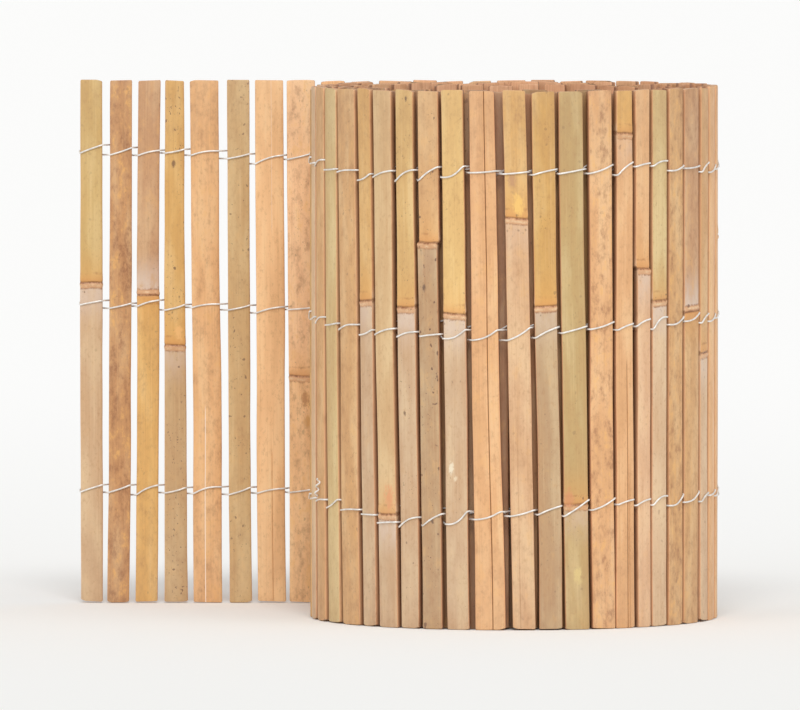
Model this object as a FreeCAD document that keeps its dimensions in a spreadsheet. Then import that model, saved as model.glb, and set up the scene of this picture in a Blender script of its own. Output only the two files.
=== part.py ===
import FreeCAD, Part
import math
import os
import Sketcher
from collections import namedtuple
from FreeCAD import Placement, Rotation, Vector

# Driving dimensions, in millimetres
SIZES = {
    "slat_length": 300.0,
    "slat_thickness": 4.4,
    "culm_radius": 50.0,
    "slim_width": 10.0,
    "narrow_width": 11.4,
    "medium_width": 12.6,
    "wide_width": 13.8,
    "broad_width": 16.2,
    "tight_gap": 2.2,
    "even_gap": 3.4,
    "open_gap": 4.8,
    "ring_height": 5.0,
    "ring_proud": 0.4,
    "wire_side": 0.9,
    "wire_clearance": 0.2,
    "wire_rise": 4.0,
    "row_wander": 2.5,
    "top_row_inset": 43.0,
    "bottom_row_height": 65.0,
    "middle_row_height": 168.0,
    "straight_run": 245.6,
    "roll_radius": 116.5,
}
SLAT_COUNT = 146
WANDER_PERIOD = 7.2
WANDER_DIP = 33

# Slats of the open end, from its free edge to the roll: width, gap after the slat, height of the
# growth ring as a share of the slat's length, and how far the foot stands along the mat from the head
TAIL = [
    ("medium", "open", 0.613, 0.0),
    ("medium", "even", None, -2.0),
    ("medium", "tight", 0.588, -2.0),
    ("narrow", "even", 0.493, 0.7),
    ("broad", "open", None, 2.0),
    ("medium", "even", None, 1.4),
    ("broad", "tight", None, 1.6),
    ("broad", "even", 0.433, 1.6),
]
# Slats round the back of the roll
BACK = [
    ("wide", "even", 0.36, 1.0),
    ("medium", "even", None, 0.0),
    ("broad", "even", 0.70, 0.0),
    ("wide", "even", 0.30, 0.6),
    ("narrow", "even", None, 0.0),
    ("medium", "even", 0.64, -0.6),
    ("broad", "even", None, 0.0),
    ("wide", "even", 0.45, 0.0),
    ("medium", "even", 0.78, 0.8),
    ("broad", "even", None, 0.0),
    ("wide", "even", 0.66, -0.5),
    ("narrow", "even", 0.33, 0.0),
    ("broad", "even", None, 0.5),
    ("medium", "even", 0.70, 0.0),
    ("wide", "even", 0.40, 0.0),
    ("broad", "even", None, -0.4),
    ("narrow", "even", 0.72, 0.0),
]
# Slats round the front of the roll, from its right side to its left side
FRONT = [
    ("wide", "even", None, 0.0),
    ("wide", "tight", None, 0.2),
    ("narrow", "tight", 0.503, 0.4),
    ("broad", "tight", 0.582, 0.4),
    ("medium", "tight", None, 0.0),
    ("narrow", "tight", 0.607, -0.4),
    ("slim", "tight", 0.667, -0.8),
    ("slim", "even", 0.92, -1.2),
    ("wide", "even", None, -2.8),
    ("wide", "tight", 0.233, -4.4),
    ("medium", "even", 0.60, -4.7),
    ("medium", "open", 0.763, -6.0),
    ("wide", "even", None, -5.2),
    ("medium", "tight", 0.585, -4.0),
    ("narrow", "even", 0.717, -4.3),
    ("narrow", "even", 0.597, -4.2),
    ("medium", "tight", 0.21, -5.2),
    ("slim", "even", 0.606, -5.2),
    ("broad", "tight", None, -5.6),
    ("wide", "tight", None, -5.2),
    ("wide", "tight", None, -3.4),
    ("medium", "even", None, -1.6),
]
# Widths that repeat through the turns inside the roll
INNER = ["medium", "wide", "narrow", "medium", "broad", "slim", "wide", "medium"]
SINGLE_SLATS = len(TAIL) + len(BACK) + len(FRONT)

Slat = namedtuple("Slat", "width_name width before after ring shift start centre along out crown")
Row = namedtuple("Row", "label height")


def make_sheet(doc):
    """Spreadsheet that holds the driving dimensions under their own names."""
    sheet = doc.addObject("Spreadsheet::Sheet", "Sizes")
    for row, (alias, value) in enumerate(SIZES.items(), 1):
        sheet.set(f"A{row}", alias)
        sheet.set(f"B{row}", str(value))
        sheet.setAlias(f"B{row}", alias)
    doc.recompute()
    return sheet


def turn_pitch(sheet):
    """Radial step of the spiral: a slat with its ring, and a wire on each face."""
    return (sheet.slat_thickness + sheet.ring_proud
            + 2 * sheet.wire_side + 4 * sheet.wire_clearance)


def sweep_at(sheet, run):
    """Angle the mat has turned through, at a run from its free edge."""
    round_run = max(run - sheet.straight_run, 0)
    pitch = turn_pitch(sheet)
    left = math.sqrt(sheet.roll_radius ** 2 - pitch * round_run / math.pi)
    return 2 * math.pi / pitch * (sheet.roll_radius - left)


def path_frame(sheet, run):
    """Point, forward direction and outward direction of the mat, at a run from its free edge."""
    if run <= sheet.straight_run:
        point = Vector(run - sheet.straight_run, sheet.roll_radius, 0)
        return point, Vector(1, 0, 0), Vector(0, 1, 0)
    sweep = sweep_at(sheet, run)
    radius = sheet.roll_radius - turn_pitch(sheet) * sweep / (2 * math.pi)
    out = Vector(math.sin(sweep), math.cos(sweep), 0)
    along = Vector(math.cos(sweep), -math.sin(sweep), 0)
    return out * radius, along, out


def slat_kinds():
    """Width, gap, ring and foot shift of every slat, in order along the mat."""
    kinds = TAIL + BACK + FRONT
    for index in range(SLAT_COUNT - len(kinds)):
        kinds.append((INNER[index % len(INNER)], "even", None, 0.0))
    return kinds


def lay_out(sheet):
    """Every slat in its place along the mat, side by side with its gaps."""
    slats = []
    run = 0.0
    before = 2 * sheet.wire_clearance + sheet.wire_side
    for index, (width_name, gap_name, ring, shift) in enumerate(slat_kinds()):
        width = getattr(sheet, f"{width_name}_width")
        after = getattr(sheet, f"{gap_name}_gap")
        centre, along, out = path_frame(sheet, run + width / 2)
        crown = -1 if index < len(TAIL) else 1
        slats.append(Slat(width_name, width, before, after, ring, shift,
                          run, centre, along, out, crown))
        run += width + after
        before = after
    return slats


def section_sketch(body, name, width_alias, proud):
    """Split bamboo in section: flat inside, straight sides, skin rounded to the culm's radius."""
    sketch = body.newObject("Sketcher::SketchObject", name)
    planes = [feature for feature in body.Origin.OriginFeatures if feature.Role == "XY_Plane"]
    sketch.AttachmentSupport = [(planes[0], "")]
    sketch.MapMode = "FlatFace"
    half = SIZES[width_alias] / 2
    back = -SIZES["slat_thickness"] / 2
    top = SIZES["slat_thickness"] / 2
    centre = top - SIZES["culm_radius"]
    edge = centre + math.sqrt(SIZES["culm_radius"] ** 2 - half ** 2)
    sketch.addGeometry([
        Part.LineSegment(Vector(-half, back, 0), Vector(half, back, 0)),
        Part.LineSegment(Vector(half, back, 0), Vector(half, edge, 0)),
        Part.Arc(Vector(half, edge, 0), Vector(0, top, 0), Vector(-half, edge, 0)),
        Part.LineSegment(Vector(-half, edge, 0), Vector(-half, back, 0)),
    ])
    sketch.addConstraint([
        Sketcher.Constraint("Coincident", 0, 2, 1, 1),
        Sketcher.Constraint("Coincident", 1, 2, 2, 1),
        Sketcher.Constraint("Coincident", 2, 2, 3, 1),
        Sketcher.Constraint("Coincident", 3, 2, 0, 1),
        Sketcher.Constraint("Symmetric", 0, 1, 0, 2, -2),
        Sketcher.Constraint("Vertical", 1),
        Sketcher.Constraint("Vertical", 3),
        Sketcher.Constraint("PointOnObject", 2, 3, -2),
    ])
    drivers = [
        ("width", Sketcher.Constraint("DistanceX", 0, 1, 0, 2, 2 * half),
         f"Sizes.{width_alias} + {proud}"),
        ("back", Sketcher.Constraint("DistanceY", 0, 1, -1, 1, -back),
         "Sizes.slat_thickness / 2"),
        ("skin", Sketcher.Constraint("Radius", 2, SIZES["culm_radius"]),
         "Sizes.culm_radius"),
        ("centre", Sketcher.Constraint("DistanceY", 2, 3, -1, 1, -centre),
         f"Sizes.culm_radius - Sizes.slat_thickness / 2 - {proud}"),
    ]
    for label, constraint, formula in drivers:
        number = sketch.addConstraint(constraint)
        sketch.renameConstraint(number, label)
        sketch.setExpression(f"Constraints.{label}", formula)
    return sketch


def make_slat(doc, sheet, label, slat):
    """One slat: the split section drawn up to its length, with a growth ring where it has one."""
    body = doc.addObject("PartDesign::Body", label)
    body.Label = label
    width_alias = f"{slat.width_name}_width"
    lean = -slat.shift * slat.crown
    pad = body.newObject("PartDesign::Pad", f"{label}_length")
    pad.Profile = section_sketch(body, f"{label}_section", width_alias, "0")
    pad.setExpression("Length", "Sizes.slat_length")
    if lean:
        pad.UseCustomVector = True
        pad.Direction = Vector(lean, 0, sheet.slat_length)
        pad.AlongSketchNormal = True
    if slat.ring:
        ring = section_sketch(body, f"{label}_ring_section", width_alias, "Sizes.ring_proud")
        ring.setExpression("AttachmentOffset.Base.x", f"{lean} * {slat.ring}")
        ring.setExpression("AttachmentOffset.Base.z",
                           f"Sizes.slat_length * {slat.ring} - Sizes.ring_height / 2")
        band = body.newObject("PartDesign::Pad", f"{label}_ring")
        band.Profile = ring
        band.setExpression("Length", "Sizes.ring_height")
    turn = math.degrees(math.atan2(slat.along.y, slat.along.x))
    if slat.crown < 0:
        turn += 180
    body.Placement = Placement(slat.centre + slat.along * slat.shift,
                               Rotation(Vector(0, 0, 1), turn))
    return body


def row_level(sheet, row, place):
    """Height of a wire row at a gap: the rows are tied by hand and wander up and down."""
    swing = math.cos(2 * math.pi * (place - WANDER_DIP) / WANDER_PERIOD)
    return row.height - sheet.row_wander * swing


def on_slat(sheet, slat, step, offset, height):
    """Point beside a slat: along the mat from its middle, out from its middle plane, up."""
    lean = slat.shift * (1 - height / sheet.slat_length)
    point = slat.centre + slat.along * (step + lean) + slat.out * offset
    return point + Vector(0, 0, height)


def wire_offsets(sheet, slat):
    """How far the middle of a wire lies from a slat's middle plane, on its outer and inner face."""
    flat = sheet.slat_thickness / 2 + sheet.wire_side / 2 + sheet.wire_clearance
    skin = flat + sheet.ring_proud
    if slat.crown > 0:
        return skin, -flat
    return flat, -skin


def woven_leg(sheet, slats, row, leg):
    """One leg of a wire, over one slat and under the next, crossing in the middle of each gap."""
    points = []
    for index, slat in enumerate(slats):
        outer, inner = wire_offsets(sheet, slat)
        rise = sheet.wire_rise / 2
        offset = inner
        if (index + leg) % 2:
            offset = outer
            rise = -rise
        low = row_level(sheet, row, index) - rise
        high = row_level(sheet, row, index + 1) + rise
        last_shift = slats[max(index - 1, 0)].shift
        next_shift = slats[min(index + 1, len(slats) - 1)].shift
        before = slat.before + (slat.shift - last_shift) * (1 - low / sheet.slat_length)
        after = slat.after + (next_shift - slat.shift) * (1 - high / sheet.slat_length)
        points.append(on_slat(sheet, slat, -slat.width / 2 - before / 2, offset, low))
        points.append(on_slat(sheet, slat, slat.width / 2 + after / 2, offset, high))
    return points


def inner_leg(sheet, slats, row):
    """The leg of a wire that goes on inside the roll, from gap to gap along the inner faces."""
    points = []
    for slat in slats:
        centre, _, out = path_frame(sheet, slat.start + slat.width + slat.after / 2)
        inner = wire_offsets(sheet, slat)[1]
        points.append(centre + out * inner + Vector(0, 0, row.height))
    return points


def square_bar(points, side):
    """Solid bar of square section along a broken line, mitred at each corner."""
    directions = [(end - start).normalize() for start, end in zip(points, points[1:])]
    across = directions[0].cross(Vector(0, 0, 1)).normalize() * (side / 2)
    up = across.cross(directions[0]).normalize() * (side / 2)
    corners = [points[0] + across + up, points[0] - across + up,
               points[0] - across - up, points[0] + across - up]
    faces = [Part.Face(Part.makePolygon(corners + corners[:1]))]
    for index, direction in enumerate(directions):
        following = directions[min(index + 1, len(directions) - 1)]
        normal = direction + following
        end = points[index + 1]
        moved = [corner + direction * ((end - corner).dot(normal) / direction.dot(normal))
                 for corner in corners]
        for here in range(4):
            there = (here + 1) % 4
            outline = [corners[here], corners[there], moved[there], moved[here], corners[here]]
            faces.append(Part.Face(Part.makePolygon(outline)))
        corners = moved
    faces.append(Part.Face(Part.makePolygon(corners + corners[:1])))
    solid = Part.Solid(Part.Shell(faces))
    if solid.Volume < 0:
        solid.reverse()
    return solid


def make_wire(doc, sheet, slats, row):
    """One wire, folded round the free edge of the mat, its two legs woven along the row."""
    woven = slats[:SINGLE_SLATS]
    short_leg = woven_leg(sheet, woven, row, SINGLE_SLATS)
    long_leg = woven_leg(sheet, woven, row, SINGLE_SLATS + 1)[:-1]
    long_leg += inner_leg(sheet, slats[SINGLE_SLATS - 1:], row)
    wire = doc.addObject("Part::Feature", row.label)
    wire.Label = row.label
    wire.Shape = square_bar(short_leg[::-1] + long_leg, sheet.wire_side)
    return wire


def check(pieces):
    """Stop where any object of the document failed or any piece is not a sound solid."""
    for thing in FreeCAD.ActiveDocument.Objects:
        if "Invalid" in thing.State or "Error" in thing.State:
            raise RuntimeError(f"{thing.Label} failed: {thing.State}")
    for piece in pieces:
        if piece.Shape.isNull() or not piece.Shape.isValid() or not piece.Shape.Solids:
            raise RuntimeError(f"{piece.Label} is not a sound solid")


def build():
    """The whole fence: single slats, slats grouped by turn inside the roll, and three wires."""
    doc = FreeCAD.newDocument("bamboo_fence")
    sheet = make_sheet(doc)
    slats = lay_out(sheet)
    bodies = [make_slat(doc, sheet, f"slat_{number:02d}" if number <= SINGLE_SLATS
                        else f"inner_slat_{number:03d}", slat)
              for number, slat in enumerate(slats, 1)]
    rows = [
        Row("top_wire", sheet.slat_length - sheet.top_row_inset),
        Row("middle_wire", sheet.middle_row_height),
        Row("bottom_wire", sheet.bottom_row_height),
    ]
    wires = [make_wire(doc, sheet, slats, row) for row in rows]
    doc.recompute()

    # The origin is the middle of the whole outline, on the ground
    outline = FreeCAD.BoundBox()
    for piece in bodies + wires:
        outline.add(piece.Shape.BoundBox)
    to_origin = Vector(-outline.Center.x, -outline.Center.y, 0)
    for piece in bodies + wires:
        piece.Placement = Placement(to_origin, Rotation()).multiply(piece.Placement)

    groups = []
    entry = sweep_at(sheet, slats[SINGLE_SLATS].start)
    for body, slat in list(zip(bodies, slats))[SINGLE_SLATS:]:
        turn = int((sweep_at(sheet, slat.start) - entry) / (2 * math.pi))
        if turn == len(groups):
            group = doc.addObject("Part::Compound", f"inner_turn_{turn + 1}")
            group.Label = f"inner_turn_{turn + 1}"
            groups.append(group)
        groups[turn].Links = groups[turn].Links + [body]
    doc.recompute()
    pieces = bodies[:SINGLE_SLATS] + groups + wires
    check(pieces)
    return pieces


os.makedirs("parts", exist_ok=True)
for piece in build():
    piece.Shape.exportStep(os.path.join("parts", f"{piece.Label}.step"))
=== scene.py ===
import math
import random
from collections import namedtuple

import bpy
import numpy as np
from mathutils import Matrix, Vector


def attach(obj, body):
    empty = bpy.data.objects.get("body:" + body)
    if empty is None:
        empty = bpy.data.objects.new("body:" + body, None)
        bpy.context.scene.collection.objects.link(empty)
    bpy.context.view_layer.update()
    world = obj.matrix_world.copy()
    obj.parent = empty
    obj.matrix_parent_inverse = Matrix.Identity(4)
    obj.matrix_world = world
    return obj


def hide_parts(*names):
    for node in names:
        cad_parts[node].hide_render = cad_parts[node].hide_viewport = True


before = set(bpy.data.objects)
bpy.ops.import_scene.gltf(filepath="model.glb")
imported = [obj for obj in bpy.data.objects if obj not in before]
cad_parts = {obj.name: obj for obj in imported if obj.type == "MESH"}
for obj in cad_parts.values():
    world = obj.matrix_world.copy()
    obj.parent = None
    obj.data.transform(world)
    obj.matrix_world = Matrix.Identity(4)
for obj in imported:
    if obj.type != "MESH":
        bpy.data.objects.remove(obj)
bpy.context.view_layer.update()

MM = 0.001
SINGLE_SLATS = 47
INNER_TURNS = ("inner_turn_1", "inner_turn_2", "inner_turn_3")
INNER_SEED_STEP = 100
OUTER_LOOK_SEED = 7
INNER_LOOK_SEED = 11

# How closely slats are drawn: steps across the inner face, round the edges, across the skin and in height
Detail = namedtuple("Detail", "back turns crown levels")
FINE = Detail(5, (0.25, 0.5, 0.75), 13, 40)
COARSE = Detail(3, (0.5,), 7, 14)
SHARP_ANGLE = 50

# Slats: the culm they were split from, their edges and raw sides, splits, and the ends' worn rims
CULM_RADIUS = 50 * MM
EDGE_ROUND = 0.55 * MM
INNER_HOLLOW = 0.12 * MM
# How far down each raw side a point lies, for painted shade that deepens into the gaps between slats
SIDE_DEPTHS = (1, 0.6, 0)
SPLIT_HALF = 0.35 * MM
SPLIT_DEPTH = 0.7 * MM
SHALLOW_SPLIT = 0.1
END_STEPS = (0, 0.25 * MM, 0.6 * MM)
END_ROUND = 0.5 * MM
END_TAPER = 0.9
FLAT_END = 0.01 * MM

# Growth rings: how far they stand out, and share, height and reach in mm of ridge, shoulder and groove
RING_PROUD = 0.45 * MM
RING_WIDER = 0.25 * MM
RING_INSIDE = 1.8 * MM
RING_CLEAR = 7 * MM
RING_STEPS = (-6, -4, -2.8, -2, -1.4, -0.9, -0.4, 0, 0.4, 0.9, 1.6, 2.6, 4, 6)
RING_WAVES = ((1, -1.3, 1.0), (0.55, 2.2, 2.6), (-0.75, 0, 0.45))
RING_TILT = 0.6 * MM
TILT_REACH = 5 * MM
NO_RING = 1.0

# Chance wear: slanted and uneven ends, chipped corners (in mm), waves, and where in the grain a slat lies
TAIL_TRIM = 0.3 * MM
OUTER_TRIM = 0.9 * MM
INNER_TRIM = 2.8 * MM
END_SLANT = 0.3 * MM
SLANT_FADE = 8
FOOT_LIFTS = (0, 0, 0.5)
HEAD_CHIPS = (0, 0, 0, 0.3, 0.8)
FOOT_CHIPS = (0, 0, 0.3, 0.6)
CHIP_REACH = 2.5 * MM
CHIP_FADE = 40
SWAY = 0.25 * MM
BOW = 0.12 * MM
EDGE_WAVE = 0.16 * MM
GRAIN_RANGE = 50

# Slats with another turn of the mat over their skin get painted shade: their tones are darkened as if in the
# shade of that turn
COVER_REACH = 9 * MM
OPEN_SHADE = (1, 1, 1)
PAINTED_INNER_SHADE = (0.56, 0.46, 0.44)

# Rows of wire: heights in mm at some gaps of the mat, counted from its free edge, and eased in between
ROWS = {
    "top_wire": [(0, 258), (1, 260), (4, 259), (6, 255), (8, 256), (16, 259), (25, 254), (29, 255),
                 (32, 258), (34, 254), (38, 255), (41, 251), (43, 251), (45, 256), (48, 258), (80, 255),
                 (146, 257)],
    "middle_wire": [(0, 172), (4, 171), (6, 169), (8, 168), (16, 171), (25, 171), (29, 170), (33, 168),
                    (36, 165), (39, 163), (42, 164), (44, 167), (47, 170), (80, 168), (146, 168)],
    "bottom_wire": [(0, 64), (1, 65), (4, 65), (7, 64), (9, 62), (16, 67), (25, 71), (29, 70), (33, 70),
                    (36, 65), (39, 62), (41, 58), (42, 60), (44, 66), (46, 68), (80, 65), (146, 65)],
}
ROW_JITTER = 0.8
STRAND_HALVES = (0.8, 1.2, 1.7, 2.2, 2.8)
FOLD_HALF = 0.6
FOLD_REACH = 0.3 * MM
WIRE_RADIUS = 0.5 * MM
WIRE_SIDES = 8
WIRE_PARTS = 3
# The two legs of a wire, by numbers that set on which face of the mat each starts and how it bends
FIRST_LEG = 47
SECOND_LEG = 48
LEG_BEND = 0.4
LEG_SHARES = (-0.5, -0.25, 0, 0.25, 0.5)
TWIST_STEPS = 21
TWIST_ANGLE = math.pi / 3
TWIST_START = 1.5 * MM
TWIST_PITCH = 0.5 * MM
TWIST_SWING = 1.1 * WIRE_RADIUS
# Curled spare ends: number of the slat they lie on, and height in mm
SPLICES = {"bottom_wire": (46, 70)}
SPLICE_STEPS = 25
SPLICE_PARTS = 2
SPLICE_CURL = 0.9 * MM
SPLICE_TURN = 5 * math.pi
SPLICE_RUN = -5 * MM
SPLICE_RISE = 10 * MM


# Natural colours of the bamboo, as seen in even light (red, green and blue out of 255), save the last two,
# which carry painted light: brighter than the bamboo, against the roll's shade on the slats beside it
TONES = {
    "khaki": (209, 176, 112),
    "sage": (202, 174, 116),
    "moss": (211, 177, 126),
    "reed": (214, 187, 132),
    "straw": (230, 192, 124),
    "gold": (228, 180, 106),
    "honey": (222, 175, 102),
    "peach": (238, 186, 132),
    "apricot": (230, 178, 128),
    "tan": (216, 170, 118),
    "umber": (202, 150, 102),
    "rose": (204, 158, 118),
    "drab": (200, 166, 122),
    "ash": (212, 179, 142),
    "chalk": (222, 190, 154),
    "blush": (228, 186, 148),
    "wheat": (215, 181, 134),
    "corn": (218, 180, 116),
    "amber": (219, 173, 108),
    "ochre": (210, 165, 95),
    "olive": (192, 164, 111),
    "clay": (186, 155, 119),
    "shell": (219, 178, 138),
    "bisque": (206, 175, 141),
    "cream": (252, 203, 149),
    "sand": (255, 207, 159),
}
# Tone above and below the growth ring, brown mottling, dark specks, whether the slat stands head down,
# so that the pale bloom lies above its ring, and how strong the bloom is, for the slats of the open end
# and for those round the front of the roll
Look = namedtuple("Look", "upper lower mottle specks flip bloom")
TAIL_LOOKS = [
    Look("khaki", "ash", 0.10, 0.2, False, 0.9),
    Look("umber", "tan", 1.00, 0.3, False, 0),
    Look("rose", "gold", 0.35, 0.3, True, 1.0),
    Look("honey", "drab", 0.15, 0.9, False, 0.6),
    Look("peach", "peach", 0.45, 0.1, False, 0),
    Look("moss", "moss", 0.20, 0.8, False, 0),
    # The two slats next to the roll have tones brightened with painted light, against the shade that the
    # roll casts on them
    Look("cream", "cream", 0.05, 0.1, False, 0),
    Look("sand", "cream", 0.60, 0.4, False, 0),
]
FRONT_LOOKS = [
    Look("peach", "peach", 0.1, 0.1, False, 0),
    Look("peach", "blush", 0.1, 0.1, False, 0),
    Look("tan", "chalk", 0.2, 0.3, False, 0.8),
    Look("rose", "tan", 0.5, 0.2, True, 1.0),
    Look("tan", "umber", 0.8, 0.2, False, 0),
    Look("reed", "chalk", 0.1, 0.3, False, 1.0),
    Look("apricot", "blush", 0.2, 0.2, False, 0.7),
    Look("gold", "apricot", 0.2, 0.1, False, 0.4),
    Look("apricot", "apricot", 0.85, 0.2, False, 0),
    Look("olive", "olive", 0.1, 0.3, False, 0.5),
    Look("ochre", "clay", 0.2, 0.4, False, 0.5),
    Look("amber", "shell", 0.3, 0.2, False, 0.3),
    Look("apricot", "apricot", 0.3, 0.1, False, 0),
    Look("straw", "bisque", 0.1, 0.4, False, 0.9),
    Look("tan", "clay", 0.3, 1.0, False, 0.1),
    Look("corn", "bisque", 0.1, 0.7, False, 0.9),
    Look("wheat", "bisque", 0.1, 0.2, False, 0.9),
    Look("amber", "bisque", 0.2, 0.3, False, 0.6),
    Look("tan", "tan", 0.4, 0.4, False, 0),
    Look("reed", "reed", 0.1, 0.2, False, 0),
    Look("tan", "tan", 0.3, 0.2, False, 0),
    Look("chalk", "chalk", 0.1, 0.1, False, 0),
]
FRONT_FIRST = SINGLE_SLATS - len(FRONT_LOOKS)
# Slats that aren't quite straight: wider or narrower at head and foot, and a sidestep below the ring
Shape = namedtuple("Shape", "head foot step")
STRAIGHT = Shape(0, 0, 0)
SHAPES = {
    4: Shape(-0.7 * MM, 2.0 * MM, 0),
    32: Shape(0, -1.5 * MM, -1.2 * MM),
    33: Shape(0, 2.0 * MM, 0),
    38: Shape(0, 3.0 * MM, 0),
    40: Shape(0.6 * MM, 0, 1.3 * MM),
}
# Splits along the grain: place across as a share of the width, foot and head as shares of the length,
# and whether the split shows pale or dark
Split = namedtuple("Split", "across foot head tone")
SPLITS = {
    5: [Split(0.076, 0, 0.36, 1)],
    7: [Split(-0.07, 0.7, 1, 0.5), Split(-0.055, 0, 0.3, -0.5)],
    33: [Split(-0.12, 0, 0.5, -0.8), Split(-0.25, 0, 0.3, -0.5)],
    37: [Split(0.15, 0, 0.4, -0.4)],
    38: [Split(-0.09, 0, 1, -0.9)],
}

# Single marks on the skin, at most two to a slat: place across from the middle, height and half width in
# mm, and tone
Mark = namedtuple("Mark", "across height size tone")
MARK_LABELS = ("first_mark", "second_mark")
NO_MARK = Mark(0, -1000, 0.1, (0, 0, 0))
MARKS = {
    4: [Mark(-2.2, 155, 2.6, (240, 186, 118)), Mark(0.5, 252, 1.3, (112, 78, 56))],
    8: [Mark(-1.0, 117, 2.8, (182, 126, 78)), Mark(-2.5, 104, 2.4, (210, 154, 90))],
    35: [Mark(-0.5, 30, 2.8, (222, 197, 132)), Mark(4.2, 73, 3.0, (208, 142, 98))],
    37: [Mark(-1.0, 236, 3.6, (240, 194, 110)), Mark(2.0, 250, 3.0, (190, 142, 104))],
    39: [Mark(2.8, 90, 1.9, (238, 226, 200)), Mark(0.5, 84, 1.2, (230, 210, 178))],
    40: [Mark(2.0, 190, 1.3, (98, 74, 62)), Mark(-1.0, 60, 1.0, (96, 70, 56))],
    41: [Mark(-1.5, 295, 1.0, (70, 48, 40)), Mark(1.5, 120, 1.0, (110, 80, 58))],
    42: [Mark(-2.0, 72, 4.0, (222, 152, 106))],
}

# Tones that tint, stain or mark the bamboo, with those of its raw inner face and sawn ends
TINTS = {
    "brown cast": (190, 136, 82),
    "pale cast": (240, 214, 166),
    "fleck": (168, 118, 74),
    "stain": (148, 97, 66),
    "gilt": (236, 182, 108),
    "dark fibre": (176, 122, 74),
    "pale fibre": (246, 218, 170),
    "ring glow": (226, 162, 82),
    "ring flush": (218, 150, 86),
    "bloom": (220, 198, 180),
    "ring ridge": (216, 162, 118),
    "ring scar": (134, 80, 44),
    "upper scar": (168, 110, 62),
    "ridge lip": (242, 212, 170),
    "lower scar": (150, 98, 62),
    "dot": (86, 58, 42),
    "spot": (104, 72, 56),
    "weathered": (158, 124, 98),
    "pale split": (255, 238, 222),
    "dark split": (120, 76, 46),
    "pale flesh": (248, 198, 152),
    "deep flesh": (226, 166, 122),
    "flesh fibre": (216, 152, 110),
    "flesh grain": (200, 138, 96),
    "flesh stain": (158, 104, 68),
    "wall bloom": (240, 214, 178),
    "wall scar": (136, 90, 58),
    "painted gap shade": (104, 58, 38),
    "pale end": (240, 198, 154),
    "deep end": (212, 158, 114),
    "pore": (180, 124, 86),
}
# Noise in the bamboo: how close across, through and along the slat, then its detail and roughness
NOISES = {
    "fibre": ((1500, 1500, 14), 3, 0.5),
    "fine": ((4200, 4200, 60), 2, 0.5),
    "broad": ((110, 110, 18), 3, 0.5),
    "patches": ((200, 200, 105), 6, 0.68),
    "flecks": ((620, 620, 340), 4, 0.7),
    "dots": ((900, 900, 620), 2, 0.5),
    "crowd": ((80, 80, 40), 2, 0.5),
    "spots": ((300, 300, 240), 1, 0.5),
    "pores": ((3200, 3200, 3200), 2, 0.5),
}
SMOOTH_SKIN = 0.42
DULL_SKIN = 0.6
GRAIN_BUMP = 0.25
GRAIN_DEPTH = 0.15 * MM

# Galvanised wire: bright and dull tone, and noise
BRIGHT_WIRE = (244, 241, 236)
DULL_WIRE = (220, 215, 208)
WIRE_NOISE = ((300, 300, 300), 3)
WIRE_METAL = 0.25

# Studio: floor, even light from the sky, suns by strength, softness in degrees and direction, and camera
FLOOR_REACH = 45
FLOOR_DROP = 0.2 * MM
# Floor tone near and far: the brighter far floor is painted light
FLOOR_NEAR = (246, 246, 244)
FLOOR_FAR = (255, 255, 254)
FLOOR_FADE = (-1.0, 3.0)
SKY_STRENGTH = 0.58
Sun = namedtuple("Sun", "name strength softness way")
SUNS = (
    Sun("soft key", 1.3, 24, (-0.02, 0.72, -0.8)),
    Sun("right fill", 0.43, 40, (-0.8, 0.5, -0.4)),
    Sun("left fill", 0.64, 40, (0.75, 0.6, -0.1)),
)
CAMERA_PLACE = (0.0016, -7.0, 0.477)
CAMERA_AIM = (0.0016, 0, 0.1475)
CAMERA_LENS = 559
CAMERA_REACH = 200

Slat = namedtuple("Slat", "foot head along skin width thick ring look shade seed")
Wear = namedtuple("Wear", "head_slant foot_slant trim lift head_chips foot_chips "
                          "sway bow left right tilt shift")
# Kind and key of a surface layer, by how many numbers it has at each point
LAYER_KINDS = {1: ("FLOAT", "value"), 3: ("FLOAT_VECTOR", "vector"), 4: ("FLOAT_COLOR", "color")}


def linear(tone):
    """A colour out of 255 as the linear colour that a shader takes."""
    shares = [channel / 255 for channel in tone]
    return tuple(s / 12.92 if s <= 0.04045 else ((s + 0.055) / 1.055) ** 2.4 for s in shares)


def paint(tone):
    """A colour out of 255 for a material."""
    return (*linear(tone), 1)


def solids_of(node):
    """The corner points of each separate solid of a CAD node."""
    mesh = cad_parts[node].data
    keys = [tuple(round(value, 6) for value in vertex.co) for vertex in mesh.vertices]
    leader = {key: key for key in keys}

    def lead(key):
        while leader[key] != key:
            leader[key] = leader[leader[key]]
            key = leader[key]
        return key

    for edge in mesh.edges:
        first, second = (lead(keys[vertex]) for vertex in edge.vertices)
        leader[first] = second
    groups = {}
    for key in leader:
        groups.setdefault(lead(key), []).append(key)
    return [np.array(points) for points in groups.values()]


def end_frame(points, height):
    """Middle, width direction, skin direction and sizes of a slat's end at a height."""
    end = points[np.abs(points[:, 2] - height) < FLAT_END][:, :2]
    spread = end - (end.min(0) + end.max(0)) / 2
    spread = spread - spread.mean(0)
    along = np.linalg.eigh(spread.T @ spread)[1][:, 1]
    skin = np.array([-along[1], along[0]])
    heights = end @ skin
    middle = (heights.min() + heights.max()) / 2
    if (heights > middle).sum() < (heights < middle).sum():
        skin = -skin
        along = -along
        heights = -heights
        middle = -middle
    steps = end @ along
    centre = along * (steps.min() + steps.max()) / 2 + skin * middle
    return centre, along, skin, np.ptp(steps), np.ptp(heights)


def read_slat(points, look, seed):
    """A slat's place, size and growth ring, read from its CAD solid."""
    top = points[:, 2].max()
    head, along, skin, width, thick = end_frame(points, top)
    foot = end_frame(points, points[:, 2].min())[0]
    between = points[(points[:, 2] > MM) & (points[:, 2] < top - MM)]
    ring = between[:, 2].mean() if len(between) else None
    return Slat(Vector((*foot, 0)), Vector((*head, top)), Vector((*along, 0)), Vector((*skin, 0)),
                width, thick, ring, look, OPEN_SHADE, seed)


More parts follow.
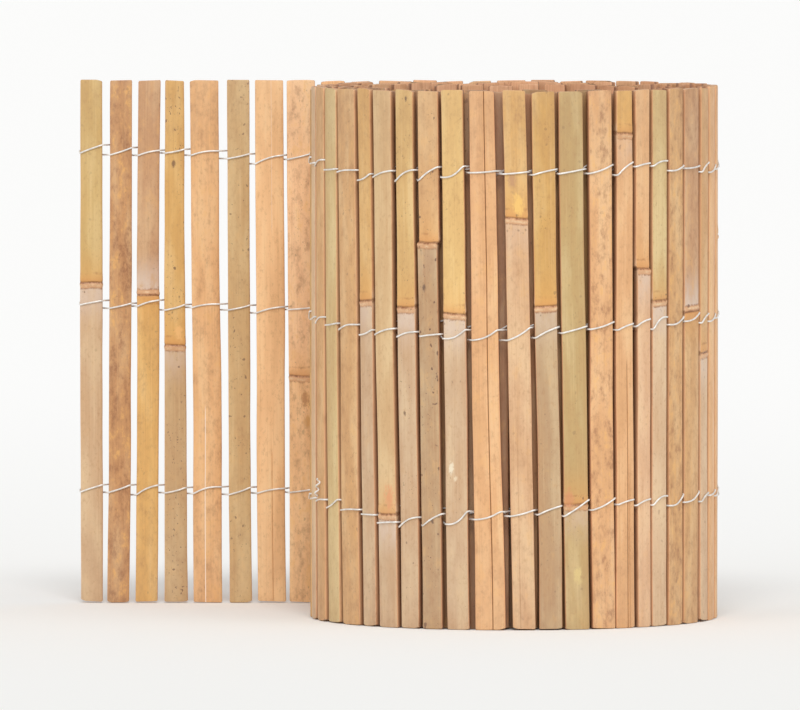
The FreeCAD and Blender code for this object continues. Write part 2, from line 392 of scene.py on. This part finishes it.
def random_look(rng):
    """A likely look for a slat round the back or inside the roll."""
    upper = rng.choice(sorted(TONES))
    lower = rng.choice(("ash", "chalk", "drab", upper, upper))
    mottle = rng.choice((0.1, 0.2, 0.3, 0.8))
    specks = rng.choice((0.1, 0.3, 0.6))
    return Look(upper, lower, mottle, specks, rng.random() < 0.2, rng.choice((0.2, 0.5, 0.9)))


def read_single_slats():
    """The slats that are nodes of their own, in order from the free edge of the mat."""
    rng = random.Random(OUTER_LOOK_SEED)
    slats = []
    for index in range(SINGLE_SLATS):
        if index < len(TAIL_LOOKS):
            look = TAIL_LOOKS[index]
        elif index >= FRONT_FIRST:
            look = FRONT_LOOKS[index - FRONT_FIRST]
        else:
            look = random_look(rng)
        points = solids_of(f"slat_{index + 1:02d}")[0]
        slats.append(read_slat(points, look, index))
    return slats


def roll_centre(slats):
    """The axis of the roll, where the skin directions of two slats of its front meet."""
    first, second = slats[FRONT_FIRST], slats[FRONT_FIRST + len(FRONT_LOOKS) // 2 + 1]
    sides = np.array([first.skin[:2], [-second.skin[0], -second.skin[1]]]).T
    gap = np.array(second.head[:2]) - np.array(first.head[:2])
    reach = np.linalg.solve(sides, gap)[0]
    return first.head.xy + first.skin.xy * reach


def covered(slat, slats):
    """Whether another turn of the mat lies over a slat's skin."""
    over = slat.head + slat.skin * COVER_REACH
    return any((other.head - over).length < COVER_REACH for other in slats)


def read_inner_slats(centre, outer_slats):
    """The slats of each turn inside the roll, in order along the mat."""
    rng = random.Random(INNER_LOOK_SEED)
    turns = []
    for number, node in enumerate(INNER_TURNS):
        slats = [read_slat(points, None, 0) for points in solids_of(node)]
        slats.sort(key=lambda slat: -(slat.head.xy - centre).length)
        first_seed = INNER_SEED_STEP * (number + 1)
        turn = []
        for place, slat in enumerate(slats):
            # Painted shade on every slat that another turn covers
            shade = PAINTED_INNER_SHADE if number or covered(slat, outer_slats) else OPEN_SHADE
            turn.append(slat._replace(look=random_look(rng), shade=shade, seed=first_seed + place))
        turns.append(turn)
    return turns


def section(slat, detail, splits):
    """Outline of a slat across its length: places, share of skin, and depth down the raw sides for their
    painted shade.
    """
    half = slat.width / 2
    top = slat.thick / 2
    edge = top - half ** 2 / (2 * CULM_RADIUS)
    inner = half - EDGE_ROUND
    back = [(step * inner, -top + INNER_HOLLOW * (1 - step ** 2), 0, 0)
            for step in np.linspace(-1, 1, detail.back)]
    lower = []
    upper = []
    for turn in detail.turns:
        rise = EDGE_ROUND * math.sin(math.pi / 2 * turn)
        run = EDGE_ROUND * math.cos(math.pi / 2 * turn)
        lower.append((inner + rise, -top + EDGE_ROUND - run, 0, turn))
        upper.append((inner + run, edge - EDGE_ROUND + rise, turn, 0))
    levels = (-top + EDGE_ROUND, 0, edge - EDGE_ROUND)
    side = lower + [(half, level, 0, deep) for level, deep in zip(levels, SIDE_DEPTHS)] + upper
    places = list(np.linspace(-inner, inner, detail.crown))
    for split in splits:
        places += [split.across * slat.width + reach * SPLIT_HALF for reach in (-1, 0, 1)]
    crown = [(x, top - x ** 2 / (2 * CULM_RADIUS), 1, 0) for x in sorted(places, reverse=True)]
    mirrored = [(-x, y, skin, deep) for x, y, skin, deep in reversed(side)]
    return np.array(back + side + crown + mirrored)


def stations(slat, detail):
    """Heights at which a slat's outline is drawn, closer together at its ends and at its ring."""
    length = slat.head.z
    heights = list(np.linspace(0, length, detail.levels))[1:-1]
    if slat.ring is not None:
        heights = [z for z in heights if abs(z - slat.ring) > RING_CLEAR]
        heights += [slat.ring + step * MM for step in RING_STEPS]
    for step in END_STEPS:
        heights += [step, length - step]
    return np.array(sorted(heights))


def wave(rng, heights, length, waves, size):
    """A smooth uneven line along a slat."""
    total = np.zeros(len(heights))
    for number in range(1, waves + 1):
        phase = rng.uniform(0, 2 * math.pi)
        total += rng.uniform(0.4, 1) * np.sin(2 * math.pi * number * heights / length + phase) / number
    return size * total[:, None]


def slat_wear(slat, heights):
    """Chance slants, chips and waves of a slat, and the part of the grain that it shows."""
    rng = np.random.default_rng(slat.seed + 1)
    length = slat.head.z
    uneven = INNER_TRIM
    if slat.seed < len(TAIL_LOOKS):
        uneven = TAIL_TRIM
    elif slat.seed < SINGLE_SLATS:
        uneven = OUTER_TRIM
    head_slant, foot_slant = rng.uniform(-1, 1, 2) * END_SLANT
    trim = rng.uniform(0, uneven) + abs(head_slant)
    lift = rng.choice(FOOT_LIFTS) * MM + abs(foot_slant)
    head_chips = rng.choice(HEAD_CHIPS, 2) * MM
    foot_chips = rng.choice(FOOT_CHIPS, 2) * MM
    sway = wave(rng, heights, length, 2, SWAY)
    bow = wave(rng, heights, length, 1, BOW)
    left = wave(rng, heights, length, 7, EDGE_WAVE)
    right = wave(rng, heights, length, 7, EDGE_WAVE)
    tilt = 0
    if slat.ring is not None:
        tilt = rng.uniform(-1, 1) * RING_TILT
    place = rng.uniform(0, GRAIN_RANGE)
    shift = (place, place / 3, place / 7)
    return Wear(head_slant, foot_slant, trim, lift, head_chips, foot_chips,
                sway, bow, left, right, tilt, shift)


def ring_shape(height):
    """How far a growth ring stands out, as a share, at a height above it."""
    step = height / MM
    return sum(share * np.exp(-((step - level) / reach) ** 2) for share, level, reach in RING_WAVES)


def slat_traits(slat, shift):
    """What is the same all over a slat: its tones, its look and its single marks."""
    look = slat.look
    # The tones are multiplied by the slat's painted shade
    upper, lower = (np.multiply(linear(TONES[name]), slat.shade) for name in (look.upper, look.lower))
    if look.flip:
        upper, lower = lower, upper
    traits = {
        "upper_tone": (*upper, 1),
        "lower_tone": (*lower, 1),
        "mottle": look.mottle,
        "specks": look.specks,
        "bloom": look.bloom,
        "raw": random.Random(slat.seed).random(),
    }
    marks = MARKS.get(slat.seed + 1, []) + [NO_MARK] * len(MARK_LABELS)
    for label, mark in zip(MARK_LABELS, marks):
        traits[f"{label}_place"] = (mark.across * MM + shift[0], 0, mark.height * MM + shift[2])
        traits[f"{label}_size"] = mark.size * MM
        traits[f"{label}_tone"] = paint(mark.tone)
    return traits


def wrapped_faces(levels, count):
    """Faces of a skin drawn through rings of points, one above the other, with both ends closed."""
    faces = []
    for level in range(levels - 1):
        base = level * count
        for step in range(count):
            after = (step + 1) % count
            faces.append((base + step, base + after, base + count + after, base + count + step))
    last = (levels - 1) * count
    faces.append(tuple(range(count))[::-1])
    faces.append(tuple(range(last, last + count)))
    return faces


def slat_mesh(slat, detail):
    """Points, faces and surface layers of one slat."""
    number = slat.seed + 1
    splits = SPLITS.get(number, [])
    shape = SHAPES.get(number, STRAIGHT)
    outline = section(slat, detail, splits)
    heights = stations(slat, detail)
    wear = slat_wear(slat, heights)
    across, out, skin, deep = outline.T
    height = heights[:, None]
    half = slat.width / 2
    share = height / slat.head.z
    from_end = np.minimum(height, slat.head.z - height)
    from_ring = np.full_like(height, NO_RING)
    if slat.ring is not None:
        from_ring = slat.ring - height if slat.look.flip else height - slat.ring

    # Worn rims at the ends, uneven edges and a slight bow
    shrink = END_TAPER * np.maximum(0, END_ROUND - from_end)
    wider = shape.foot * (1 - share) + shape.head * share
    right = (across + half) / slat.width
    x = across * (1 + (wider / 2 - shrink) / half)
    x += wear.sway + wear.left * (1 - right) + wear.right * right
    y = out * (1 - shrink / slat.thick) + wear.bow

    # Splits along the grain
    crack = np.zeros_like(x)
    for split in splits:
        near = np.maximum(0, 1 - np.abs(across - split.across * slat.width) / SPLIT_HALF)
        inside = (share >= split.foot) & (share <= split.head) & (skin > 0) & (near > 0)
        crack = np.where(inside, near * split.tone, crack)
        y -= np.where(inside, SPLIT_DEPTH * near * max(SHALLOW_SPLIT, -split.tone), 0)

    # Growth ring on the skin, and the rest of the culm's cross wall on the inner face
    swell = ring_shape(from_ring)
    x += RING_WIDER * np.maximum(0, swell) * across / half
    x += shape.step * np.clip(0.5 - from_ring / MM, 0, 1)
    y += RING_PROUD * swell * skin
    y -= np.where(out < -slat.thick / 4, RING_PROUD * np.exp(-(from_ring / RING_INSIDE) ** 2), 0)

    # Slanted and chipped ends, and a ring that isn't quite level
    slant = across / half
    z = height + (wear.head_slant * slant - wear.trim) * share ** SLANT_FADE
    z += (wear.foot_slant * slant + wear.lift) * (1 - share) ** SLANT_FADE
    from_edges = (half + across, half - across)
    for from_edge, head_chip, foot_chip in zip(from_edges, wear.head_chips, wear.foot_chips):
        near = np.maximum(0, 1 - from_edge / CHIP_REACH)
        z += near * (foot_chip * (1 - share) ** CHIP_FADE - head_chip * share ** CHIP_FADE)
    z += np.where(np.abs(from_ring) < TILT_REACH, wear.tilt * slant, 0)

    lean = slat.head - slat.foot
    points = np.stack((slat.foot.x + lean.x * share + slat.along.x * x + slat.skin.x * y,
                       slat.foot.y + lean.y * share + slat.along.y * x + slat.skin.y * y, z), axis=-1)
    places = (across + wear.shift[0], out + wear.shift[1], height + wear.shift[2])
    layers = {"grain": np.stack(np.broadcast_arrays(*places), axis=-1).reshape(-1, 3)}
    numbers = {"from_ring": from_ring, "skin": skin, "split": crack, "deep": deep, "from_end": from_end}
    for label, values in numbers.items():
        layers[label] = np.broadcast_to(values, x.shape).reshape(-1, 1)
    for label, value in slat_traits(slat, wear.shift).items():
        layers[label] = np.tile(np.atleast_1d(value), (x.size, 1))
    return points.reshape(-1, 3), wrapped_faces(len(heights), len(outline)), layers


def slat_piece(name, node, slats, detail, material):
    """One object of finished slats in place of a CAD node."""
    points = []
    faces = []
    layers = {}
    for slat in slats:
        new_points, new_faces, new_layers = slat_mesh(slat, detail)
        faces += [tuple(len(points) + corner for corner in face) for face in new_faces]
        points += new_points.tolist()
        for label, values in new_layers.items():
            layers.setdefault(label, []).append(values)
    mesh = bpy.data.meshes.new(name)
    mesh.from_pydata(points, [], faces)
    for label, parts in layers.items():
        values = np.concatenate(parts).astype(np.float32)
        kind, key = LAYER_KINDS[values.shape[1]]
        layer = mesh.attributes.new(label, kind, "POINT")
        layer.data.foreach_set(key, values.ravel())
    mesh.shade_smooth()
    mesh.set_sharp_from_angle(angle=math.radians(SHARP_ANGLE))
    mesh.materials.append(material)
    piece = bpy.data.objects.new(name, mesh)
    bpy.context.scene.collection.objects.link(piece)
    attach(piece, "root")
    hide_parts(node)


def row_gaps(row, count):
    """Heights of a row's lower and upper strand in each gap of the mat."""
    rng = random.Random(sum(height for _, height in row))
    places, heights = zip(*row)
    gaps = []
    for place in range(count + 1):
        level = np.interp(place, places, heights) + rng.uniform(-ROW_JITTER, ROW_JITTER)
        half = rng.choice(STRAND_HALVES) if place else FOLD_HALF
        gaps.append(((level - half) * MM, (level + half) * MM))
    return gaps


def mat_directions(index, slat):
    """Directions along the mat and out from its outer face, and which face carries the skin."""
    side = -1 if index < len(TAIL_LOOKS) else 1
    return slat.along * side, slat.skin * side, side


def slat_middle(slat, height):
    """Middle of a slat at a height, following its lean."""
    return slat.foot.lerp(slat.head, height / slat.head.z)


def wire_leg(slats, gaps, leg):
    """One leg of a wire, over one slat and under the next, crossing in the middle of each gap."""
    rng = random.Random(leg)
    points = []
    for index, slat in enumerate(slats):
        along, out, side = mat_directions(index, slat)
        face = 1 if (index + leg) % 2 else -1
        start, end = gaps[index][0], gaps[index + 1][1]
        if face > 0:
            start, end = gaps[index][1], gaps[index + 1][0]
        bend = rng.uniform(-LEG_BEND, LEG_BEND)
        for share in LEG_SHARES:
            across = share * slat.width
            lift = slat.thick / 2 + WIRE_RADIUS
            if face == side:
                lift -= across ** 2 / (2 * CULM_RADIUS)
            run = share + 0.5
            level = start + (end - start) * (run + bend * math.sin(math.pi * run))
            points.append(slat_middle(slat, level) + along * across + out * face * lift)
        if index + 1 < len(slats):
            following = slats[index + 1]
            next_along = mat_directions(index + 1, following)[0]
            near = slat_middle(slat, end) + along * slat.width / 2
            far = slat_middle(following, end) - next_along * following.width / 2
            points.append((near + far) / 2)
    return points


def twisted_end(slat, height, turn):
    """The last few turns of a leg, twisted with the other one beyond the end of the mat."""
    points = []
    for step in range(1, TWIST_STEPS + 1):
        angle = turn + step * TWIST_ANGLE
        reach = slat.width / 2 + TWIST_START + step * TWIST_PITCH
        spot = slat_middle(slat, height) + slat.along * reach + slat.skin * TWIST_SWING * math.cos(angle)
        points.append(spot + Vector((0, 0, TWIST_SWING * math.sin(angle))))
    return points


def splice(slat, height):
    """A spare end of wire, curled up from the row where a new length was joined on."""
    points = []
    for step in range(SPLICE_STEPS):
        share = step / (SPLICE_STEPS - 1)
        angle = share * SPLICE_TURN
        lift = slat.thick / 2 + WIRE_RADIUS + SPLICE_CURL * (1 - math.cos(angle))
        across = (share - 0.5) * SPLICE_RUN + SPLICE_CURL * math.sin(angle)
        spot = slat_middle(slat, height) + slat.along * across + slat.skin * lift
        points.append(spot + Vector((0, 0, SPLICE_RISE * share)))
    return points


def smooth_line(points, parts):
    """A smooth line through points."""
    knots = np.array([points[0], *points, points[-1]])
    shares = np.linspace(0, 1, parts, endpoint=False)[:, None]
    line = []
    for index in range(len(points) - 1):
        before, start, end, after = knots[index:index + 4]
        pull_in = (end - before) / 2
        pull_out = (after - start) / 2
        line.append(start + pull_in * shares
                    + (3 * (end - start) - 2 * pull_in - pull_out) * shares ** 2
                    + (2 * (start - end) + pull_in + pull_out) * shares ** 3)
    return np.vstack([*line, knots[-1][None]])


def tube(line):
    """Points and faces of a round wire along a line."""
    runs = np.gradient(line, axis=0)
    runs /= np.linalg.norm(runs, axis=1)[:, None]
    across = np.cross(runs, [0, 0, 1])
    across /= np.linalg.norm(across, axis=1)[:, None]
    up = np.cross(across, runs)
    rings = []
    for step in range(WIRE_SIDES):
        angle = 2 * math.pi * step / WIRE_SIDES
        rings.append(line + WIRE_RADIUS * (across * math.cos(angle) + up * math.sin(angle)))
    points = np.stack(rings, axis=1).reshape(-1, 3)
    # These rings run the other way round than a slat's outline, so each face is turned over
    faces = [(face[0], *face[:0:-1]) for face in wrapped_faces(len(line), WIRE_SIDES)]
    return points.tolist(), faces


def wire_piece(node, row, slats, material):
    """A tie wire in place of a CAD wire, folded round the free edge, both legs woven to the end."""
    gaps = row_gaps(row, len(slats))
    end_level = sum(gaps[-1]) / 2
    first_leg = wire_leg(slats, gaps, FIRST_LEG) + twisted_end(slats[-1], end_level, 0)
    second_leg = wire_leg(slats, gaps, SECOND_LEG) + twisted_end(slats[-1], end_level, math.pi)
    first = slats[0]
    along = mat_directions(0, first)[0]
    fold = slat_middle(first, sum(gaps[0]) / 2) - along * (first.width / 2 + FOLD_REACH)
    points, faces = tube(smooth_line(first_leg[::-1] + [fold] + second_leg, WIRE_PARTS))
    if node in SPLICES:
        number, height = SPLICES[node]
        more_points, more_faces = tube(smooth_line(splice(slats[number - 1], height * MM), SPLICE_PARTS))
        faces += [tuple(len(points) + corner for corner in face) for face in more_faces]
        points += more_points
    mesh = bpy.data.meshes.new(f"woven_{node}")
    mesh.from_pydata(points, [], faces)
    mesh.shade_smooth()
    mesh.materials.append(material)
    piece = bpy.data.objects.new(f"woven_{node}", mesh)
    bpy.context.scene.collection.objects.link(piece)
    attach(piece, "root")
    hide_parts(node)


class Graph:
    """Short calls for building a material out of nodes."""

    def __init__(self, name):
        self.material = bpy.data.materials.new(name)
        self.material.use_nodes = True
        self.tree = self.material.node_tree
        self.shader = self.tree.nodes["Principled BSDF"]

    def put(self, socket, value):
        """Link a node's output to a socket, or set a plain value on it."""
        if isinstance(value, bpy.types.NodeSocket):
            self.tree.links.new(value, socket)
        else:
            socket.default_value = value

    def attribute(self, name, output="Fac"):
        """A layer of the mesh's surface."""
        node = self.tree.nodes.new("ShaderNodeAttribute")
        node.attribute_name = name
        return node.outputs[output]

    def geometry(self, output):
        """A property of the point that is shaded, such as its place."""
        return self.tree.nodes.new("ShaderNodeNewGeometry").outputs[output]

    def coordinate(self, value, axis):
        """One of the three numbers of a vector."""
        node = self.tree.nodes.new("ShaderNodeSeparateXYZ")
        self.put(node.inputs[0], value)
        return node.outputs[axis]

    def vector(self, operation, first, second=(0, 0, 0)):
        """Vectors added, multiplied or measured."""
        node = self.tree.nodes.new("ShaderNodeVectorMath")
        node.operation = operation
        self.put(node.inputs[0], first)
        self.put(node.inputs[1], second)
        return node.outputs["Value" if operation == "LENGTH" else "Vector"]

    def noise(self, place, scale, detail, roughness=0.5):
        """Noise stretched by a scale along each direction of the grain."""
        node = self.tree.nodes.new("ShaderNodeTexNoise")
        self.put(node.inputs["Vector"], self.vector("MULTIPLY", place, scale))
        self.put(node.inputs["Scale"], 1.0)
        self.put(node.inputs["Detail"], detail)
        self.put(node.inputs["Roughness"], roughness)
        return node.outputs["Fac"]

    def spread(self, value, start, end, low=0.0, high=1.0):
        """A value eased from one range to another."""
        node = self.tree.nodes.new("ShaderNodeMapRange")
        node.interpolation_type = "SMOOTHSTEP"
        for socket, number in zip(node.inputs, (value, start, end, low, high)):
            self.put(socket, number)
        return node.outputs["Result"]

    def math(self, operation, first, second=0.0):
        """Two numbers added, compared and so on."""
        node = self.tree.nodes.new("ShaderNodeMath")
        node.operation = operation
        self.put(node.inputs[0], first)
        self.put(node.inputs[1], second)
        return node.outputs[0]

    def product(self, *values):
        """Numbers multiplied with each other."""
        total = values[0]
        for value in values[1:]:
            total = self.math("MULTIPLY", total, value)
        return total

    def swing(self, noise, size):
        """Noise turned into a value that swings about zero."""
        return self.product(self.math("SUBTRACT", noise, 0.5), size)

    def mix(self, share, first, second):
        """One colour turning into another."""
        node = self.tree.nodes.new("ShaderNodeMix")
        node.data_type = "RGBA"
        self.put(node.inputs["Factor"], share)
        self.put([s for s in node.inputs if s.name == "A" and s.type == "RGBA"][0], first)
        self.put([s for s in node.inputs if s.name == "B" and s.type == "RGBA"][0], second)
        return [s for s in node.outputs if s.type == "RGBA"][0]

    def tint(self, share, colour, name):
        """A colour turning into a named tint."""
        return self.mix(share, colour, paint(TINTS[name]))

    def bump(self, height, strength, depth):
        """Fine relief."""
        node = self.tree.nodes.new("ShaderNodeBump")
        self.put(node.inputs["Strength"], strength)
        self.put(node.inputs["Distance"], depth)
        self.put(node.inputs["Height"], height)
        return node.outputs["Normal"]

    def finish(self, **sockets):
        """Set the shader's sockets, named in small letters, and hand over the material."""
        for name, value in sockets.items():
            self.put(self.shader.inputs[name.replace("_", " ").title()], value)
        return self.material


def skin_colour(graph, noise, skin):
    """The skin's tone, with broad casts, flecks, mottling and fibres."""
    broad, flecks, patches, fibre = (noise[name] for name in ("broad", "flecks", "patches", "fibre"))
    mottle = graph.attribute("mottle")
    stain = graph.product(graph.spread(patches, 0.46, 0.68), mottle,
                          graph.spread(flecks, 0.3, 0.6, 0.35, 1), 0.75)
    gilt = graph.product(graph.spread(patches, 0.47, 0.34), mottle, 0.6)
    colour = graph.tint(graph.spread(broad, 0.35, 0.7, 0, 0.30), skin, "brown cast")
    colour = graph.tint(graph.spread(broad, 0.30, 0.55, 0.24, 0), colour, "pale cast")
    colour = graph.tint(graph.spread(flecks, 0.5, 0.75, 0, 0.34), colour, "fleck")
    colour = graph.tint(stain, colour, "stain")
    colour = graph.tint(gilt, colour, "gilt")
    colour = graph.tint(graph.spread(fibre, 0.52, 0.78, 0, 0.24), colour, "dark fibre")
    return graph.tint(graph.spread(fibre, 0.45, 0.22, 0, 0.20), colour, "pale fibre")


def ring_colour(graph, noise, from_ring, colour):
    """A growth ring: golden above, a dark scar, a tan ridge with a pale lip, and waxy bloom below."""
    patches, flecks = noise["patches"], noise["flecks"]
    above = graph.spread(from_ring, 0, 0.4 * MM)
    below = graph.spread(from_ring, -2.6 * MM, -3.6 * MM)
    glow = graph.product(graph.spread(from_ring, 26 * MM, 0), above, 0.3)
    flush = graph.product(graph.spread(from_ring, 7 * MM, 0.5 * MM), above, 0.45)
    bloom = graph.product(graph.spread(from_ring, -28 * MM, -3 * MM), below,
                          graph.attribute("bloom"), graph.spread(patches, 0.3, 0.62, 0.3, 0.9))
    ridge = graph.product(graph.spread(from_ring, 0.2 * MM, -0.4 * MM),
                          graph.spread(from_ring, -3.8 * MM, -2.8 * MM), 0.75)
    colour = graph.tint(glow, colour, "ring glow")
    colour = graph.tint(flush, colour, "ring flush")
    colour = graph.tint(bloom, colour, "bloom")
    colour = graph.tint(ridge, colour, "ring ridge")
    lines = (
        (0, 1.1 * MM, graph.spread(flecks, 0.35, 0.6, 0.35, 0.85), "ring scar"),
        (5 * MM, 0.9 * MM, graph.spread(patches, 0.4, 0.6, 0, 0.45), "upper scar"),
        (-1.9 * MM, 1.0 * MM, graph.spread(patches, 0.4, 0.65, 0, 0.7), "ridge lip"),
        (-3.4 * MM, 0.8 * MM, graph.spread(flecks, 0.35, 0.65, 0.1, 0.7), "lower scar"),
    )
    for level, reach, strength, name in lines:
        from_line = graph.math("ABSOLUTE", graph.math("SUBTRACT", from_ring, level))
        colour = graph.tint(graph.product(graph.spread(from_line, reach, 0.2 * MM), strength), colour, name)
    return colour


def speck_colour(graph, noise, from_ring, colour):
    """Dark dots in crowds and single spots, more of them by the ring."""
    dots = graph.spread(noise["dots"], 0.64, 0.72)
    crowd = graph.spread(noise["crowd"], 0.42, 0.6)
    spots = graph.spread(noise["spots"], 0.72, 0.76)
    by_ring = graph.spread(graph.math("ABSOLUTE", from_ring), 14 * MM, 2 * MM, 0, 0.8)
    amount = graph.math("MAXIMUM", graph.attribute("specks"), by_ring)
    colour = graph.tint(graph.product(dots, crowd, amount, 0.85), colour, "dot")
    return graph.tint(graph.product(spots, amount, 0.8), colour, "spot")


def mark_colour(graph, noise, grain, colour):
    """Single marks with ragged edges, twice as long as wide."""
    ragged = graph.swing(noise["flecks"], 2.6)
    for label in MARK_LABELS:
        apart = graph.vector("SUBTRACT", grain, graph.attribute(f"{label}_place", "Vector"))
        reach = graph.vector("LENGTH", graph.vector("MULTIPLY", apart, (1, 0, 0.5)))
        share = graph.math("DIVIDE", reach, graph.attribute(f"{label}_size"))
        inside = graph.spread(graph.math("ADD", share, ragged), 1.1, 0.3, 0, 0.8)
        colour = graph.mix(inside, colour, graph.attribute(f"{label}_tone", "Color"))
    return colour


def worn_colour(graph, noise, colour):
    """Weathering towards both ends, and pale or dark splits."""
    weather = graph.product(graph.spread(graph.attribute("from_end"), 75 * MM, 5 * MM, 0, 0.18),
                            graph.spread(noise["patches"], 0.3, 0.65, 0.6, 1.2))
    split = graph.attribute("split")
    colour = graph.tint(weather, colour, "weathered")
    colour = graph.tint(graph.spread(split, 0.1, 0.9), colour, "pale split")
    return graph.tint(graph.spread(split, -0.1, -0.9, 0, 0.8), colour, "dark split")


def flesh_colour(graph, noise, from_ring, skin):
    """Raw inner face: each slat's own tone, fibres, old stains, the scar of the wall across the culm, and
    painted shade down the raw sides.
    """
    from_wall = graph.math("ABSOLUTE", from_ring)
    flesh = graph.mix(graph.attribute("raw"), paint(TINTS["pale flesh"]), paint(TINTS["deep flesh"]))
    flesh = graph.tint(graph.spread(noise["fibre"], 0.35, 0.7, 0, 0.6), flesh, "flesh fibre")
    flesh = graph.tint(graph.spread(noise["fine"], 0.4, 0.7, 0, 0.4), flesh, "flesh grain")
    flesh = graph.tint(graph.spread(noise["patches"], 0.5, 0.72, 0, 0.45), flesh, "flesh stain")
    flesh = graph.mix(0.25, flesh, skin)
    flesh = graph.tint(graph.spread(from_wall, 9 * MM, 2 * MM, 0, 0.4), flesh, "wall bloom")
    flesh = graph.tint(graph.spread(from_wall, 2 * MM, 0.6 * MM, 0, 0.7), flesh, "wall scar")
    # Painted shade: the raw sides darken towards the inner face, as in the shade of the gaps between slats
    return graph.tint(graph.product(graph.attribute("deep"), 0.8), flesh, "painted gap shade")


def sawn_colour(graph, noise):
    """Sawn ends, with the pores of the bamboo."""
    sawn = graph.mix(graph.attribute("raw"), paint(TINTS["pale end"]), paint(TINTS["deep end"]))
    return graph.tint(graph.spread(noise["pores"], 0.4, 0.65, 0, 0.8), sawn, "pore")


def bamboo_material():
    """Dried split bamboo: tinted skin with fibres, blotches and specks, rings, raw sides and sawn ends."""
    graph = Graph("bamboo")
    grain = graph.attribute("grain", "Vector")
    noise = {name: graph.noise(grain, *values) for name, values in NOISES.items()}

    # The ring's line is a little ragged
    wobble = graph.math("ADD", graph.swing(noise["broad"], 2.4 * MM), graph.swing(noise["flecks"], 1.6 * MM))
    from_ring = graph.math("ADD", graph.attribute("from_ring"), wobble)

    skin = graph.mix(graph.spread(from_ring, -0.5 * MM, 0.5 * MM),
                     graph.attribute("lower_tone", "Color"), graph.attribute("upper_tone", "Color"))
    colour = skin_colour(graph, noise, skin)
    colour = ring_colour(graph, noise, from_ring, colour)
    colour = speck_colour(graph, noise, from_ring, colour)
    colour = mark_colour(graph, noise, grain, colour)
    colour = worn_colour(graph, noise, colour)
    flesh = flesh_colour(graph, noise, from_ring, skin)
    colour = graph.mix(graph.spread(graph.attribute("skin"), 0.25, 0.75), flesh, colour)
    level = graph.math("ABSOLUTE", graph.coordinate(graph.geometry("True Normal"), "Z"))
    colour = graph.mix(graph.spread(level, 0.75, 0.95), colour, sawn_colour(graph, noise))
    return graph.finish(base_color=colour,
                        roughness=graph.spread(noise["patches"], 0.3, 0.7, SMOOTH_SKIN, DULL_SKIN),
                        normal=graph.bump(noise["fine"], GRAIN_BUMP, GRAIN_DEPTH))


def wire_material():
    """Galvanised tie wire."""
    graph = Graph("galvanised wire")
    dull = graph.noise(graph.geometry("Position"), *WIRE_NOISE)
    colour = graph.mix(graph.spread(dull, 0.35, 0.65), paint(BRIGHT_WIRE), paint(DULL_WIRE))
    return graph.finish(base_color=colour, metallic=WIRE_METAL,
                        roughness=graph.spread(dull, 0.3, 0.7, 0.3, 0.5))


def floor_piece():
    """A pale floor, a touch brighter far off: painted light."""
    corners = [(-FLOOR_REACH, -FLOOR_REACH, 0), (FLOOR_REACH, -FLOOR_REACH, 0),
               (FLOOR_REACH, FLOOR_REACH, 0), (-FLOOR_REACH, FLOOR_REACH, 0)]
    mesh = bpy.data.meshes.new("floor")
    mesh.from_pydata(corners, [], [(0, 1, 2, 3)])
    graph = Graph("pale floor")
    far = graph.spread(graph.coordinate(graph.geometry("Position"), "Y"), *FLOOR_FADE)
    colour = graph.mix(far, paint(FLOOR_NEAR), paint(FLOOR_FAR))
    mesh.materials.append(graph.finish(base_color=colour, roughness=1.0))
    graph.put(graph.shader.inputs["Specular IOR Level"], 0.0)
    floor = bpy.data.objects.new("floor", mesh)
    floor.location.z = -FLOOR_DROP
    bpy.context.scene.collection.objects.link(floor)


def studio_light():
    """Soft light from all round, a soft key from the front and a fill from either side."""
    world = bpy.data.worlds.new("soft sky")
    world.use_nodes = True
    sky = world.node_tree.nodes["Background"]
    sky.inputs["Color"].default_value = (1, 1, 1, 1)
    sky.inputs["Strength"].default_value = SKY_STRENGTH
    bpy.context.scene.world = world
    for sun in SUNS:
        lamp = bpy.data.lights.new(sun.name, "SUN")
        lamp.angle = math.radians(sun.softness)
        lamp.energy = sun.strength
        place = bpy.data.objects.new(sun.name, lamp)
        place.rotation_euler = Vector(sun.way).to_track_quat("-Z", "Y").to_euler()
        bpy.context.scene.collection.objects.link(place)


def photograph():
    """The camera, far off and a little above the panel."""
    camera = bpy.data.cameras.new("camera")
    camera.lens = CAMERA_LENS
    camera.clip_end = CAMERA_REACH
    place = bpy.data.objects.new("camera", camera)
    place.location = CAMERA_PLACE
    aim = Vector(CAMERA_AIM) - place.location
    place.rotation_euler = aim.to_track_quat("-Z", "Y").to_euler()
    bpy.context.scene.collection.objects.link(place)
    bpy.context.scene.camera = place


single_slats = read_single_slats()
inner_turns = read_inner_slats(roll_centre(single_slats), single_slats)
all_slats = single_slats + [slat for turn in inner_turns for slat in turn]
bamboo = bamboo_material()
steel = wire_material()
for index, slat in enumerate(single_slats, 1):
    slat_piece(f"split_slat_{index:02d}", f"slat_{index:02d}", [slat], FINE, bamboo)
for node, turn in zip(INNER_TURNS, inner_turns):
    slat_piece(f"rolled_{node}", node, turn, COARSE, bamboo)
for node, row in ROWS.items():
    wire_piece(node, row, all_slats, steel)
floor_piece()
studio_light()
photograph()
bpy.context.scene.view_settings.view_transform = "Standard"
